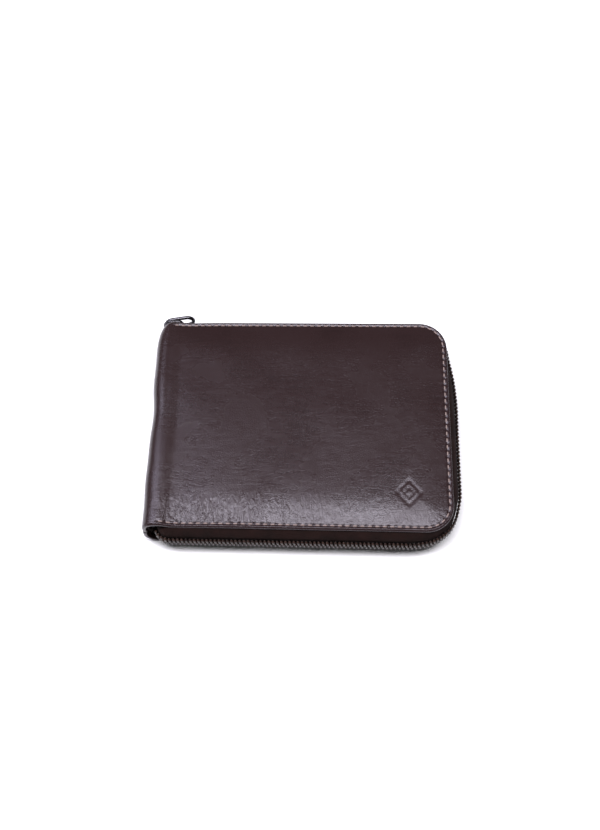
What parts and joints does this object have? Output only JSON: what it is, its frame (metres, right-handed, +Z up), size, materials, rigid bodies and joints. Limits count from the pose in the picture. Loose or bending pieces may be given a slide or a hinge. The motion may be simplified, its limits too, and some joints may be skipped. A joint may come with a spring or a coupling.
{
  "type": "zip-around wallet",
  "caption": "Bifold leather wallet closed by a zip round three sides, with card pockets and a zipped coin pocket inside.",
  "frame": {"origin": "middle of the back cover's outer face, which the closed wallet lies on", "axes": "+X from the fold to the zip side, +Y to the back edge where the slider is, +Z up through the closed wallet"},
  "size_m": [0.1242, 0.1022, 0.017],
  "materials": {
    "dark_brown_leather": "fine pebble grain, satin",
    "inner_leather": "smooth, matt",
    "lining_cloth": "fine plain weave",
    "padding_board": "bonded leather board",
    "beige_thread": "twisted thread",
    "zip_tape": "woven herringbone tape",
    "nylon_coil": "moulded nylon coil",
    "gunmetal": "gunmetal plating, polished"
  },
  "bodies": {
    "back_cover": {"back_cover_leather": "dark_brown_leather", "back_padding": "padding_board", "back_lining": "lining_cloth", "back_stitching": "beige_thread", "back_zip_tape": "zip_tape", "back_zip_coil": "nylon_coil", "back_top_stop": "gunmetal", "back_note_divider": "lining_cloth", "back_inner_panel": "inner_leather", "coin_pocket_bag": "lining_cloth", "coin_panel_upper": "inner_leather", "coin_panel_lower": "inner_leather", "coin_zip_tape": "zip_tape", "coin_zip_coil": "nylon_coil", "coin_zip_stops": "gunmetal"},
    "spine": {"spine_leather": "dark_brown_leather", "spine_lining": "lining_cloth", "spine_note_divider": "lining_cloth", "zip_bottom_stop": "gunmetal"},
    "front_cover": {"front_cover_leather": "dark_brown_leather", "front_padding": "padding_board", "front_lining": "lining_cloth", "front_stitching": "beige_thread", "front_zip_tape": "zip_tape", "front_zip_coil": "nylon_coil", "front_top_stop": "gunmetal", "front_note_divider": "lining_cloth", "front_inner_panel": "inner_leather", "card_pocket_1": "inner_leather", "card_pocket_2": "inner_leather", "card_pocket_3": "inner_leather"},
    "zip_slider": {"zip_slider_body": "gunmetal", "zip_slider_bridge": "gunmetal"},
    "zip_puller": {"zip_puller": "gunmetal"},
    "coin_slider": {"coin_slider_body": "gunmetal", "coin_slider_bridge": "gunmetal", "coin_puller": "gunmetal"}
  },
  "joints": [
    {"name": "spine_fold", "type": "hinge", "parent": "back_cover", "child": "spine", "pos_m": [-0.05871, 0, 0.00129], "axis": [0, -1, 0], "range_deg": [0, 90]},
    {"name": "cover_fold", "type": "hinge", "parent": "spine", "child": "front_cover", "pos_m": [-0.05871, 0, 0.01571], "axis": [0, -1, 0], "range_deg": [0, 90]},
    {"name": "zip_slide", "type": "slide", "parent": "back_cover", "child": "zip_slider", "axis": [1, 0, 0], "range_m": [0, 0.098]},
    {"name": "puller_swing", "type": "hinge", "parent": "zip_slider", "child": "zip_puller", "pos_m": [-0.056, 0.0516, 0.0085], "axis": [0, 0, 1], "range_deg": [0, 170]},
    {"name": "coin_slide", "type": "slide", "parent": "back_cover", "child": "coin_slider", "axis": [1, 0, 0], "range_m": [0, 0.07]}
  ],
  "couplings": [
    {"joint": "cover_fold", "follows": "spine_fold", "ratio": 1}
  ]
}
